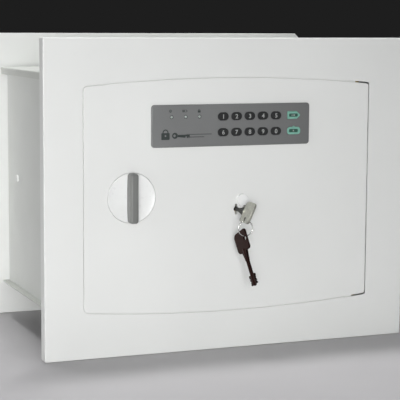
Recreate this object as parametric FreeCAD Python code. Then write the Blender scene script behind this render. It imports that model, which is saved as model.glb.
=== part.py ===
import FreeCAD, Part
import math
import os

# Electronic wall safe for building into masonry.  Millimetres, +Z up, the front faces -Y.
# The safe is drawn with the front plate's face at Y = 0 and its bottom edge at Z = 0, and every
# sub-part is moved by ORIGIN_SHIFT when it is written, so the origin lies under the middle.

V = FreeCAD.Vector

# ---- driving dimensions ---------------------------------------------------------------------
PLATE_L, PLATE_R, PLATE_H = 224.0, 228.0, 362.0   # front plate: left and right of the door's middle
PLATE_T, RETURN_D = 2.0, 14.0          # its sheet and the depth of its folded edge
REAR_W, REAR_H, REAR_T = 456.0, 364.0, 3.0
REAR_CUT = 9.0                         # cut-off corners of the rear plate
DEPTH = 290.0                          # front face to the rear plate
BODY_W, BODY_H, SHEET = 380.0, 280.0, 3.0
CZ = PLATE_H / 2                       # height of the middle of plate, door and body
LIP, OVERHANG = 9.0, 7.5               # folded lip of the top pan; how far both pans stand out sideways
ANCHOR_X, ANCHOR_Z, ANCHOR_R = 130.0, 75.0, 6.0

DOOR_W, DOOR_MID, DOOR_END, DOOR_T = 356.0, 135.5, 127.0, 6.0   # half heights: middle, ends
SEAM, SEAM_HINGE = 1.0, 1.5            # gap round the door; wider above and below the pins
RIM_T, REBATE = 1.6, 3.0               # thin rim left round the door, and how wide it is
PIVOT_X, PIVOT_Y, PIN_R = 163.0, 9.0, 2.5
LUG_IN = 16.0                          # height of a hinge lug
BRACKET_X, BRACKET_H = 148.0, 6.8      # left end and height of the blocks that hold the pins

KNOB_X, KNOB_Z, DISH_R = -121.5, 182.0, 28.4
GRIP_W, GRIP_L, GRIP_OUT = 9.5, 56.6, 12.0
SPINDLE_R = 4.8
CAM_Y, CAM_T, CAM_R = 31.0, 4.0, 27.0
CAM_IN, THROW = 10.0, 10.0             # start radius of the spiral slot, bolt travel
ROLLER_R = 3.0
NOTCH_D, NOTCH_W = 5.0, 5.6

BOLT_R, BOLT_Y = 7.0, 19.0
BOLT_Z = (106.0, 182.0, 258.0)
BOLT_TIP = -176.0
GUIDE_X, CARRIAGE_X = -168.0, -146.0

COVER = (-164.0, 150.0, 6.3, 46.0, 66.0, 296.0, 1.2)   # x, x, y, y, z, z, sheet
BATTERY = (40.0, 144.0, 82.0, 114.0)                   # x, x, z, z of the compartment
LID_TRAVEL = 60.0

PAD_W, PAD_H, PAD_Z, PAD_OUT = 197.0, 48.4, 262.4, 2.8
KEY_W, KEY_H, KEY_PITCH = 13.2, 9.2, 16.65
KEY_X0, KEY_ROWS = -11.2, (272.3, 254.1)
FUNC_X, FUNC_W = 78.3, 16.6
LED_X, LED_Z = (-74.6, -57.4, -40.6), 272.7

LOCK_X, LOCK_Z, TURNED = 7.1, 164.0, 25.0              # keyhole, and how far the key is turned
BOW_L, BOW_W, BOW_T = 24.5, 25.0, 2.4
KEY_OUT, KEY_LEN, SHANK_R = 47.0, 66.5, 2.2
HOLE_W, HOLE_R = 8.5, 2.9                              # ring hole beside the shank's axis
RING_R, WIRE_R = 8.8, 0.6
SPARE_TURN = 10.0                                      # the spare key hangs turned about Z
FLAP_X, FLAP_Z = 16.5, 166.0                           # rivet of the keyhole cover

FRONT_REACH = 60.97                    # the hanging key reaches this far in front of the plate
ORIGIN_SHIFT = V(0, -(DEPTH + REAR_T - FRONT_REACH) / 2, 0)


# ---- small helpers ----------------------------------------------------------------------------
def box(x0, x1, y0, y1, z0, z1):
    return Part.makeBox(x1 - x0, y1 - y0, z1 - z0, V(x0, y0, z0))


def rod(axis, a, b, r, lo, hi):
    """Cylinder along an axis; a and b are its two other coordinates in X, Y, Z order."""
    start = {"x": V(lo, a, b), "y": V(a, lo, b), "z": V(a, b, lo)}[axis]
    way = {"x": V(1, 0, 0), "y": V(0, 1, 0), "z": V(0, 0, 1)}[axis]
    return Part.makeCylinder(r, hi - lo, start, way)


def tube(axis, a, b, r_out, r_in, lo, hi):
    return rod(axis, a, b, r_out, lo, hi).cut(rod(axis, a, b, r_in, lo - 1, hi + 1))


def join(shapes):
    s = shapes[0].multiFuse(shapes[1:]).removeSplitter()
    return s.Solids[0] if len(s.Solids) == 1 else s


def edges_along(shape, axis, keep=lambda c: True):
    out = []
    for e in shape.Edges:
        if isinstance(e.Curve, Part.Line) and abs(getattr(e.Curve.Direction, axis)) > 0.999:
            if keep(e.CenterOfMass):
                out.append(e)
    return out


def edges_in(shape, axis, value):
    """Edges that lie in the plane where one coordinate has the given value."""
    ends = {"x": ("XMin", "XMax"), "y": ("YMin", "YMax"), "z": ("ZMin", "ZMax")}[axis]
    return [e for e in shape.Edges
            if all(abs(getattr(e.BoundBox, m) - value) < 0.01 for m in ends)]


def slab(x0, x1, z0, z1, y0, y1, r, edge=0.0):
    """Plate facing -Y with rounded corners and, if asked, a softened front edge."""
    s = box(x0, x1, y0, y1, z0, z1)
    s = s.makeFillet(r, edges_along(s, "y"))
    return s.makeFillet(edge, edges_in(s, "y", y0)) if edge else s


def barrel(grow, y0, y1, r_left, r_right):
    """The door's outline, straight at the sides and bowed at top and bottom, as a solid."""
    w, m, e = DOOR_W / 2 + grow, DOOR_MID + grow, DOOR_END + grow
    p = [V(-w, y0, CZ - e), V(0, y0, CZ - m), V(w, y0, CZ - e),
         V(w, y0, CZ + e), V(0, y0, CZ + m), V(-w, y0, CZ + e)]
    wire = Part.Wire([Part.Arc(p[0], p[1], p[2]).toShape(), Part.makeLine(p[2], p[3]),
                      Part.Arc(p[3], p[4], p[5]).toShape(), Part.makeLine(p[5], p[0])])
    s = Part.Face(wire).extrude(V(0, y1 - y0, 0))
    s = s.makeFillet(r_left, edges_along(s, "y", lambda c: c.x < 0))
    return s.makeFillet(r_right, edges_along(s, "y", lambda c: c.x > 0))


def turned(shape, degrees, x=LOCK_X, z=LOCK_Z):
    """The shape turned about an axis along Y, clockwise seen from the front."""
    s = shape.copy()
    s.rotate(V(x, 0, z), V(0, 1, 0), degrees)
    return s


def save(name, shape):
    s = shape.copy()
    s.translate(ORIGIN_SHIFT)
    s.exportStep("parts/" + name + ".step")


# ---- body: folded and welded sheets --------------------------------------------------------------
def body_wrap():
    """Both side walls and the back wall, folded from one sheet."""
    w, z0, z1 = BODY_W / 2, CZ - BODY_H / 2 + SHEET, CZ + BODY_H / 2 - SHEET
    outer = box(-w, w, PLATE_T, DEPTH, z0, z1)
    outer = outer.makeFillet(4.0, edges_along(outer, "z", lambda c: c.y > DEPTH - 1))
    inner = box(-w + SHEET, w - SHEET, PLATE_T - 1, DEPTH - SHEET, z0 - 1, z1 + 1)
    inner = inner.makeFillet(1.0, edges_along(inner, "z", lambda c: c.y > 100))
    wrap = outer.cut(inner)
    for x in (-ANCHOR_X, ANCHOR_X):
        for z in (-ANCHOR_Z, ANCHOR_Z):
            wrap = wrap.cut(rod("y", x, CZ + z, ANCHOR_R, DEPTH - 10, DEPTH + 10))
    return wrap.cut(rod("x", 241, CZ + 1, 3.0, -w - 5, w + 5))


def body_pan(top):
    """Sheet that closes the body and stands out past the side walls; the top one is folded down there."""
    w, edge = BODY_W / 2 + OVERHANG, CZ + BODY_H / 2
    pan = box(-w, w, PLATE_T, DEPTH, edge - (LIP if top else SHEET), edge)
    pan = pan.makeFillet(2.0 if top else 0.8, edges_along(pan, "y", lambda c: c.z > edge - 1))
    if not top:
        return pan.mirror(V(0, 0, CZ), V(0, 0, 1))
    return pan.cut(box(-w + SHEET, w - SHEET, 0, DEPTH + 1, 0, edge - SHEET))


def rear_plate():
    w = REAR_W / 2
    plate = box(-w, w, DEPTH, DEPTH + REAR_T, 0, REAR_H)
    plate = plate.makeChamfer(REAR_CUT, edges_along(plate, "y"))
    plate = plate.makeFillet(0.8, edges_in(plate, "y", DEPTH))
    for x in (-ANCHOR_X, ANCHOR_X):
        for z in (-ANCHOR_Z, ANCHOR_Z):
            plate = plate.cut(rod("y", x, CZ + z, ANCHOR_R, DEPTH - 10, DEPTH + 10))
    return plate


def front_plate():
    """Front plate with folded edges, the bowed doorway, and a lip behind the gap round the door."""
    tray = box(-PLATE_L, PLATE_R, 0, RETURN_D, 0, PLATE_H)
    tray = tray.makeFillet(1.6, edges_along(tray, "y"))
    tray = tray.makeFillet(1.3, edges_in(tray, "y", 0))
    tray = tray.cut(box(PLATE_T - PLATE_L, PLATE_R - PLATE_T, PLATE_T, 50, PLATE_T, PLATE_H - PLATE_T))
    tray = tray.cut(barrel(SEAM, -1, PLATE_T + 1, 6.0, 4.0))
    relief = barrel(SEAM_HINGE, -1, PLATE_T + 1, 6.0, 4.0)
    tray = tray.cut(relief.common(box(150, DOOR_W / 2 + SEAM, -1, PLATE_T + 1, 0, PLATE_H)))
    inner = BODY_H / 2 - SHEET
    lip = box(-DOOR_W / 2 - SEAM - 0.2, BRACKET_X - 0.5, PLATE_T, PLATE_T + 1.4, CZ - inner, CZ + inner)
    reach = inner - BRACKET_H                  # between the two brackets the lip goes on to the pins
    lip = lip.fuse(box(0, PIVOT_X - 2, PLATE_T, PLATE_T + 1.4, CZ - reach, CZ + reach))
    lip = lip.cut(barrel(0.7 - REBATE, -1, 10, 4.0, 2.0))
    return tray.fuse(lip).removeSplitter()


def strike_bar():
    """Bar behind the plate on the opening side; the bolts pass behind it."""
    x0 = -BODY_W / 2 + SHEET
    bar = box(x0, -DOOR_W / 2 - SEAM - 0.2, PLATE_T, 11.7, CZ - 125, CZ + 125)
    return bar.makeFillet(0.8, edges_along(bar, "z", lambda c: c.x > x0 + 1 and c.y > 5))


def door_stops():
    """Strips the closed door rests against, above and below."""
    edge = CZ + BODY_H / 2 - SHEET
    top = box(-150, 138, DOOR_T + 0.4, DOOR_T + 3.4, edge - 14, edge)
    top = top.makeFillet(1.0, edges_along(top, "y", lambda c: c.z < edge - 1))
    return Part.makeCompound([top, top.mirror(V(0, 0, CZ), V(0, 0, 1))])


def hinge_brackets():
    """Blocks welded under the top pan and on the bottom pan that hold the hinge pins."""
    edge = CZ + BODY_H / 2 - SHEET
    top = box(BRACKET_X, BODY_W / 2 - SHEET, PLATE_T, 24, edge - BRACKET_H, edge)
    top = top.makeFillet(3.0, edges_along(top, "z", lambda c: c.x < 150 and c.y > 20))
    top = top.cut(rod("z", PIVOT_X, PIVOT_Y, PIN_R + 0.05, edge - 20, edge + 1))
    return Part.makeCompound([top, top.mirror(V(0, 0, CZ), V(0, 0, 1))])


def floor_mat():
    z = CZ - BODY_H / 2 + SHEET
    mat = box(-180, 180, 62, DEPTH - SHEET - 4, z, z + 2.5)
    mat = mat.makeFillet(6.0, edges_along(mat, "z"))
    return mat.makeFillet(0.8, edges_in(mat, "z", z + 2.5))


def side_plugs():
    """Plugs in the cable holes of the two side walls."""
    w = BODY_W / 2
    plug = rod("x", 241, CZ + 1, 3.0, w - SHEET - 2, w).fuse(rod("x", 241, CZ + 1, 4.6, w, w + 1.6))
    plug = plug.fuse(rod("x", 241, CZ + 1, 4.0, w - SHEET - 2, w - SHEET)).removeSplitter()
    plug = plug.makeFillet(0.7, edges_in(plug, "x", w + 1.6))
    return Part.makeCompound([plug, plug.mirror(V(0, 0, 0), V(1, 0, 0))])


# ---- door and what is welded or screwed to it ----------------------------------------------------
def key_outline(y0, y1, grow=0.0):
    """Keyhole: a round for the shank with a slot for the two wings of the bit."""
    hole = rod("y", LOCK_X, LOCK_Z, 3.2 + grow, y0, y1)
    slot = box(LOCK_X - 1.4 - grow, LOCK_X + 1.4 + grow, y0, y1,
               LOCK_Z - 6.2 - grow, LOCK_Z + 6.2 + grow)
    return hole.fuse(slot).removeSplitter()


def door_plate():
    door = barrel(0, 0, RIM_T, 5.0, 3.0)
    door = door.makeFillet(0.7, edges_in(door, "y", 0))
    door = door.fuse(barrel(-REBATE, RIM_T, DOOR_T, 4.0, 2.0)).removeSplitter()
    door = door.cut(rod("y", KNOB_X, KNOB_Z, DISH_R + 0.45, -1, 20))
    door = door.cut(key_outline(-1, 20))
    door = door.cut(rod("y", FLAP_X, FLAP_Z, 1.6, -1, 20))
    w, h = PAD_W / 2 - 9, PAD_H / 2 - 6
    return door.cut(slab(-w - 0.3, w + 0.3, PAD_Z - h - 0.3, PAD_Z + h + 0.3, -1, 20, 2.0))


def hinge_lugs():
    z = CZ + 125
    foot = box(PIVOT_X - 7, PIVOT_X + 7, DOOR_T, PIVOT_Y, z - LUG_IN, z)
    lug = foot.fuse(rod("z", PIVOT_X, PIVOT_Y, 6.0, z - LUG_IN, z)).common(
        box(0, 500, DOOR_T, 100, 0, 500)).removeSplitter()
    lug = lug.cut(rod("z", PIVOT_X, PIVOT_Y, PIN_R, z - LUG_IN - 5, z + 5))
    return Part.makeCompound([lug, lug.mirror(V(0, 0, CZ), V(0, 0, 1))])


def hinge_pins():
    pin = rod("z", PIVOT_X, PIVOT_Y, PIN_R, CZ + 125 - LUG_IN, CZ + BODY_H / 2 - SHEET - 0.3)
    pin = pin.makeFillet(0.6, edges_in(pin, "z", CZ + BODY_H / 2 - SHEET - 0.3))
    return Part.makeCompound([pin, pin.mirror(V(0, 0, CZ), V(0, 0, 1))])


def hinge_washers():
    ring = tube("z", PIVOT_X, PIVOT_Y, 5.6, PIN_R, CZ + 125, CZ + 130)
    ring = ring.cut(box(0, 500, 0, DOOR_T + 0.1, 0, 500))
    return Part.makeCompound([ring, ring.mirror(V(0, 0, CZ), V(0, 0, 1))])


def dog_bar():
    """Fixed bar that reaches behind the plate on the hinge side."""
    bar = box(153, 184, DOOR_T, 11, CZ - 70, CZ + 70)
    return bar.makeFillet(2.0, edges_along(bar, "y"))


def bolt_guide():
    plate = box(GUIDE_X, GUIDE_X + 3, DOOR_T, 32, CZ - 97, CZ + 97)
    plate = plate.makeFillet(4.0, edges_along(plate, "x", lambda c: c.y > 30))
    for z in BOLT_Z:
        plate = plate.cut(rod("x", BOLT_Y, z, BOLT_R + 0.06, GUIDE_X - 5, GUIDE_X + 10))
    return plate


def knob_bearing():
    """Bearing plate behind the dish, on four posts."""
    plate = slab(KNOB_X - 31, KNOB_X + 33, KNOB_Z - 34, KNOB_Z + 34, 9.0, 11.4, 5.0)
    posts = [rod("y", KNOB_X + sx, KNOB_Z + sz, 3.0, DOOR_T, 9.0)
             for sx in (-26, 27) for sz in (-29, 29)]
    return join([plate] + posts).cut(rod("y", KNOB_X, KNOB_Z, 8.06, 0, 40))


def door_cover():
    x0, x1, y0, y1, z0, z1, t = COVER
    cover = box(x0, x1, y0, y1, z0, z1)
    cover = cover.makeFillet(3.0, edges_along(cover, "y"))
    cover = cover.makeFillet(2.0, edges_in(cover, "y", y1))
    cover = cover.cut(box(x0 + t, x1 - t, y0 - 1, y1 - t, z0 + t, z1 - t))
    for z in BOLT_Z:
        cover = cover.cut(rod("x", BOLT_Y, z, BOLT_R + 0.6, x0 - 1, x0 + 5))
    bx0, bx1, bz0, bz1 = BATTERY
    cover = cover.cut(box(bx0, bx1, y1 - 5, y1 + 1, bz0, bz1))
    for x, z in COVER_SCREWS:
        cover = cover.cut(rod("y", x, z, 1.7, y1 - 5, y1 + 1))
    rail = box(bx0 - LID_TRAVEL - 8, bx1 + 4, y1, y1 + 3.2, bz1 + 3.2, bz1 + 6.5)
    lip = box(bx0 - LID_TRAVEL - 8, bx1 + 4, y1 + 2.4, y1 + 3.2, bz1 + 1.4, bz1 + 4)
    mid = V(0, 0, (bz0 + bz1) / 2)
    rails = [rail, lip, rail.mirror(mid, V(0, 0, 1)), lip.mirror(mid, V(0, 0, 1))]
    return join([cover] + rails)


COVER_SCREWS = ((-152, 78), (-152, 284), (138, 284), (-70, 78), (138, 140))


def door_posts():
    """Threaded posts for the cover's screws and plain posts for the control board."""
    tall = [tube("y", x, z, 3.5, 1.5, DOOR_T, COVER[3] - COVER[6]) for x, z in COVER_SCREWS]
    short = [rod("y", x, z, 2.6, DOOR_T, 30.0) for x in (29, 123) for z in (201, 231)]
    return Part.makeCompound(tall + short)


def cover_screws():
    screws = []
    for x, z in COVER_SCREWS:
        head = rod("y", x, z, 3.2, COVER[3], COVER[3] + 2.0)
        head = head.makeFillet(0.8, edges_in(head, "y", COVER[3] + 2.0))
        head = head.cut(box(x - 2.4, x + 2.4, COVER[3] + 1.0, COVER[3] + 3, z - 0.4, z + 0.4))
        head = head.cut(box(x - 0.4, x + 0.4, COVER[3] + 1.0, COVER[3] + 3, z - 2.4, z + 2.4))
        screws.append(head.fuse(rod("y", x, z, 1.5, COVER[3] - 12, COVER[3])).removeSplitter())
    return Part.makeCompound(screws)


def battery_lid():
    bx0, bx1, bz0, bz1 = BATTERY
    y = COVER[3] + 0.2
    lid = box(bx0 - 3, bx1 + 3, y, y + 2.0, bz0 - 3, bz1 + 3)
    lid = lid.makeFillet(1.5, edges_along(lid, "y"))
    mid = (bz0 + bz1) / 2
    for i in range(5):
        x = bx0 + 6 + 4 * i
        lid = lid.cut(box(x, x + 1.6, y + 1.4, y + 3, mid - 8, mid + 8))
    return lid


def battery_box():
    bx0, bx1, bz0, bz1 = BATTERY
    y1 = COVER[3] - COVER[6]
    tray = box(bx0 - 1.6, bx1 + 1.6, y1 - 18, y1, bz0 - 1.6, bz1 + 1.6)
    tray = tray.makeFillet(1.5, edges_along(tray, "y"))
    tray = tray.cut(box(bx0, bx1, y1 - 16.4, y1 + 1, bz0, bz1))
    mid = (bz0 + bz1) / 2
    return tray.fuse(box(bx0, bx1, y1 - 16.4, y1 - 8, mid - 0.5, mid + 0.5)).removeSplitter()


def batteries():
    bx0, bx1, bz0, bz1 = BATTERY
    y = COVER[3] - COVER[6] - 8.4
    cells = []
    for i in range(2):
        for z in (bz0 + 7.8, bz1 - 7.8):
            x = bx0 + 1.0 + 51.0 * i
            cell = rod("x", y, z, 7.1, x, x + 48.8)
            cell = cell.makeFillet(0.8, edges_in(cell, "x", x) + edges_in(cell, "x", x + 48.8))
            cells.append(cell.fuse(rod("x", y, z, 2.7, x + 48.8, x + 50.2)).removeSplitter())
    return Part.makeCompound(cells)


def control_board():
    return slab(24, 128, 196, 268, 30.0, 31.6, 2.0)


def board_parts():
    """Chip, relay, buzzer, capacitors and connectors standing on the control board."""
    y = 31.6
    parts = [box(46, 62, y, y + 2.6, 222, 238), box(84, 104, y, y + 9.5, 204, 216),
             rod("y", 112, 252, 6.0, y, y + 7), rod("y", 78, 250, 3.2, y, y + 10),
             rod("y", 90, 250, 3.2, y, y + 10), box(30, 42, y, y + 6, 248, 262),
             box(30, 42, y, y + 6, 206, 216), box(104, 118, y, y + 3, 228, 234)]
    return Part.makeCompound(parts)


def ribbon_cable():
    path = box(10, 34, 7.0, 7.8, PAD_Z - 8, PAD_Z + 4)
    drop = box(33.2, 34, 7.0, 31.0 - 1.2, PAD_Z - 8, PAD_Z + 4)
    return path.fuse(drop).removeSplitter()


# ---- keypad ----------------------------------------------------------------------------------------
def key_centres():
    """Centres of the ten digit keys, top row first."""
    return [(KEY_X0 + KEY_PITCH * i, z) for z in KEY_ROWS for i in range(5)]


def oval(x, z, grow, y0, y1):
    w, h = KEY_W / 2 + grow, KEY_H / 2 + grow
    return slab(x - w, x + w, z - h, z + h, y0, y1, h - 0.02)


def arrow(grow, y0, y1):
    """Upper function key: a blunt arrow that points right."""
    x0, x1, h = FUNC_X - FUNC_W / 2 - grow, FUNC_X + FUNC_W / 2 + grow, 4.4 + grow
    z = KEY_ROWS[0]
    pts = [V(x0, y0, z - h), V(x1 - 4.5, y0, z - h), V(x1, y0, z), V(x1 - 4.5, y0, z + h),
           V(x0, y0, z + h)]
    s = Part.Face(Part.makePolygon(pts + pts[:1])).extrude(V(0, y1 - y0, 0))
    return s.makeFillet(1.0 + grow, edges_along(s, "y"))


def dome(grow, y0, y1):
    """Lower function key: rounded, with a small peak in the middle of its top edge."""
    x0, x1, h, z = FUNC_X - 8.3 - grow, FUNC_X + 8.3 + grow, 4.3 + grow, KEY_ROWS[1]
    s = slab(x0, x1, z - h, z + h, y0, y1, 3.4 + grow)
    peak = rod("y", FUNC_X, z + 4.3, 1.3 + grow, y0, y1)
    return s.fuse(peak).removeSplitter()


def keypad_housing():
    """Grey panel with a shallow frame behind it that passes through the door."""
    w, h = PAD_W / 2, PAD_H / 2
    front = slab(-w, w, PAD_Z - h, PAD_Z + h, -PAD_OUT, 0, 3.6, 0.7)
    back = slab(-w + 9, w - 9, PAD_Z - h + 6, PAD_Z + h - 6, 0, DOOR_T, 2.0)
    shell = front.fuse(back).removeSplitter()
    shell = shell.cut(box(-w + 11, w - 11, -PAD_OUT + 1.8, DOOR_T + 1,
                          PAD_Z - h + 8, PAD_Z + h - 8))
    for x, z in key_centres():
        shell = shell.cut(oval(x, z, 0.25, -10, 0))
    shell = shell.cut(arrow(0.25, -10, 0)).cut(dome(0.25, -10, 0))
    for x in LED_X:
        shell = shell.cut(rod("y", x, LED_Z, 1.55, -10, 0))
    return shell


def flanged(face, flange):
    return face.fuse(flange).removeSplitter()


def digit_key(x, z):
    cap = oval(x, z, 0, -PAD_OUT - 0.8, -0.7)
    cap = cap.makeFillet(0.45, edges_in(cap, "y", -PAD_OUT - 0.8))
    return flanged(cap, oval(x, z, 0.8, -0.7, 0.0))


def function_key(shape):
    cap = shape(0, -PAD_OUT - 0.8, -0.7)
    cap = cap.makeFillet(0.35, edges_in(cap, "y", -PAD_OUT - 0.8))
    return flanged(cap, shape(0.7, -0.7, 0.0))


def keypad_mat():
    """Rubber mat with a dome under every key."""
    mat = slab(-18, 87, PAD_Z - 15, PAD_Z + 15, 3.6, 4.6, 2.0)
    spots = key_centres() + [(FUNC_X, z) for z in KEY_ROWS]
    return join([mat] + [Part.makeCone(2.2, 3.4, 2.4, V(x, 1.2, z), V(0, 1, 0))
                         for x, z in spots])


def keypad_board():
    return slab(-84, 86, PAD_Z - 15.5, PAD_Z + 15.5, 4.8, 6.4, 1.5)


def led_lenses():
    lenses = []
    for x in LED_X:
        lens = rod("y", x, LED_Z, 1.5, -PAD_OUT - 0.5, 4.8)
        lens = lens.makeFillet(0.6, edges_in(lens, "y", -PAD_OUT - 0.5))
        lenses.append(lens)
    return Part.makeCompound(lenses)


# ---- knob, cam and bolts -----------------------------------------------------------------------------
def knob_dish():
    """Round dish with a hollow face, a hub behind it and the hub's bearing journal."""
    r = DISH_R
    pts = [(0, 2.2), (13, 1.75), (22.5, 0.6), (r - 0.9, -0.6)]
    curve = Part.BSplineCurve()
    curve.interpolate([V(a, b, 0) for a, b in pts])
    rim = [V(r - 0.9, -0.6, 0), V(r - 0.4, -0.7, 0), V(r, -0.3, 0), V(r, 6.4, 0), V(24, 8.2, 0),
           V(8.0, 8.2, 0), V(8.0, 14.0, 0), V(0, 14.0, 0), V(0, 2.2, 0)]
    edges = [curve.toShape()] + [Part.makeLine(a, b) for a, b in zip(rim, rim[1:])]
    dish = Part.Face(Part.Wire(edges)).revolve(V(0, 0, 0), V(0, 1, 0), 360)
    dish.translate(V(KNOB_X, 0, KNOB_Z))
    return dish


def knob_grip(dish):
    grip = box(KNOB_X - GRIP_W / 2, KNOB_X + GRIP_W / 2, -GRIP_OUT, 6,
               KNOB_Z - GRIP_L / 2, KNOB_Z + GRIP_L / 2)
    grip = grip.makeFillet(3.4, edges_along(grip, "x", lambda c: c.y < 0))
    grip = grip.makeFillet(2.6, edges_in(grip, "x", KNOB_X - GRIP_W / 2)
                           + edges_in(grip, "x", KNOB_X + GRIP_W / 2))
    keep = rod("y", KNOB_X, KNOB_Z, DISH_R + 1, -20, 8.2).cut(dish)
    parts = sorted(grip.common(keep).Solids, key=lambda s: s.Volume)
    return parts[-1]


def knob_spindle():
    shaft = rod("y", KNOB_X, KNOB_Z, SPINDLE_R, 14.0, 38.0)
    return shaft.makeFillet(0.6, edges_in(shaft, "y", 38.0))


def cam_disc():
    """Disc with a spiral slot that moves the roller in step with the turn, and two notches."""
    disc = rod("y", KNOB_X, KNOB_Z, CAM_R, CAM_Y, CAM_Y + CAM_T)
    disc = disc.cut(rod("y", KNOB_X, KNOB_Z, SPINDLE_R + 0.03, 0, 60))

    def point(turn, side):
        k = THROW / (math.pi / 2)
        a = math.radians(180.0 + turn)
        r = CAM_IN + THROW * turn / 90.0
        n = V(r * math.cos(a) + k * math.sin(a), 0, r * math.sin(a) - k * math.cos(a)).normalize()
        return V(KNOB_X + r * math.cos(a), CAM_Y - 1, KNOB_Z + r * math.sin(a)) + n * side

    half = ROLLER_R + 0.15
    steps = [i * 7.5 for i in range(13)]
    inner, outer = Part.BSplineCurve(), Part.BSplineCurve()
    inner.interpolate([point(t, -half) for t in steps])
    outer.interpolate([point(t, half) for t in steps])
    ends = [Part.makeLine(point(t, -half), point(t, half)) for t in (steps[0], steps[-1])]
    face = Part.Face(Part.Wire([inner.toShape(), ends[1], outer.toShape(), ends[0]]))
    slot = [face.extrude(V(0, CAM_T + 2, 0))]
    for t in (steps[0], steps[-1]):
        end = point(t, 0)
        slot.append(rod("y", end.x, end.z, half, CAM_Y - 1, CAM_Y + CAM_T + 1))
    for piece in slot:
        disc = disc.cut(piece)
    disc = disc.cut(box(KNOB_X - NOTCH_W / 2, KNOB_X + NOTCH_W / 2, 0, 60,
                        KNOB_Z + CAM_R - NOTCH_D, KNOB_Z + 60))
    return disc.cut(box(KNOB_X - 60, KNOB_X - CAM_R + NOTCH_D, 0, 60,
                        KNOB_Z - NOTCH_W / 2, KNOB_Z + NOTCH_W / 2))


def bolt_carriage():
    strip = box(CARRIAGE_X, CARRIAGE_X + 5, 12.2, 30.6, BOLT_Z[0] - 12, BOLT_Z[-1] + 12)
    strip = strip.makeFillet(3.0, edges_along(strip, "x"))
    x = KNOB_X - CAM_IN
    arm = box(CARRIAGE_X, x + ROLLER_R + 0.4, 27.2, 30.6, KNOB_Z - 8, KNOB_Z + 8)
    carriage = join([strip, arm])
    for z in BOLT_Z:
        carriage = carriage.cut(rod("x", BOLT_Y, z, 4.05, CARRIAGE_X - 1, CARRIAGE_X + 6))
    pin = rod("y", x, KNOB_Z, ROLLER_R, 30.0, CAM_Y + CAM_T + 0.4)
    return join([carriage, pin.makeFillet(0.4, edges_in(pin, "y", CAM_Y + CAM_T + 0.4))])


def locking_bolts():
    bolts = []
    for z in BOLT_Z:
        b = rod("x", BOLT_Y, z, BOLT_R, BOLT_TIP, CARRIAGE_X)
        b = b.makeFillet(1.6, edges_in(b, "x", BOLT_TIP))
        bolts.append(b.fuse(rod("x", BOLT_Y, z, 4.0, CARRIAGE_X, CARRIAGE_X + 8)).removeSplitter())
    return Part.makeCompound(bolts)


def bolt_clips():
    return Part.makeCompound([tube("x", BOLT_Y, z, 6.4, 4.0, CARRIAGE_X + 5, CARRIAGE_X + 7)
                              for z in BOLT_Z])


def solenoid():
    z0, z1, y = KNOB_Z + 42, KNOB_Z + 78, CAM_Y + CAM_T / 2
    coil = rod("z", KNOB_X, y, 8.5, z0, z1)
    frame = box(KNOB_X - 11, KNOB_X + 11, y - 9.2, y + 9.2, z0 - 2, z1 + 2)
    frame = frame.cut(box(KNOB_X - 9.4, KNOB_X + 9.4, y - 8.9, y + 20, z0, z1))
    foot = box(KNOB_X - 9, KNOB_X + 9, DOOR_T, y - 9.2, z0 + 4, z1 - 6)
    bore = rod("z", KNOB_X, y, 2.56, z0 - 5, z1 + 5)
    return join([frame, foot]).cut(bore), coil.cut(bore).cut(frame)


def plunger():
    y = CAM_Y + CAM_T / 2
    pin = rod("z", KNOB_X, y, 2.5, KNOB_Z + CAM_R + 1.0, KNOB_Z + 84)
    pin = pin.makeFillet(0.5, edges_in(pin, "z", KNOB_Z + CAM_R + 1.0))
    return pin.fuse(rod("z", KNOB_X, y, 4.2, KNOB_Z + 86, KNOB_Z + 87.5).fuse(
        rod("z", KNOB_X, y, 2.5, KNOB_Z + 84, KNOB_Z + 86))).removeSplitter()


# ---- key lock, keys and ring -------------------------------------------------------------------------
def lock_case():
    case = box(LOCK_X - 18, LOCK_X + 18, DOOR_T, 28, LOCK_Z - 24, LOCK_Z + 26)
    case = case.makeFillet(2.0, edges_along(case, "y"))
    return case.cut(rod("y", LOCK_X, LOCK_Z, 7.06, 0, 60))


def lock_plug():
    plug = rod("y", LOCK_X, LOCK_Z, 7.0, DOOR_T + 0.3, 28.3)
    return turned(plug.cut(key_outline(0, 27.0, 0.1)), TURNED)


def lock_tail():
    """Lever behind the plug that frees the blocking pin."""
    y = 28.3
    arm = rod("y", LOCK_X, LOCK_Z, 8.0, y, y + 2.4).fuse(
        box(LOCK_X - 4, LOCK_X + 4, y, y + 2.4, LOCK_Z, LOCK_Z + 20))
    arm = arm.fuse(rod("y", LOCK_X, LOCK_Z + 20, 4.0, y, y + 2.4)).removeSplitter()
    return turned(arm, TURNED)


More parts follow.
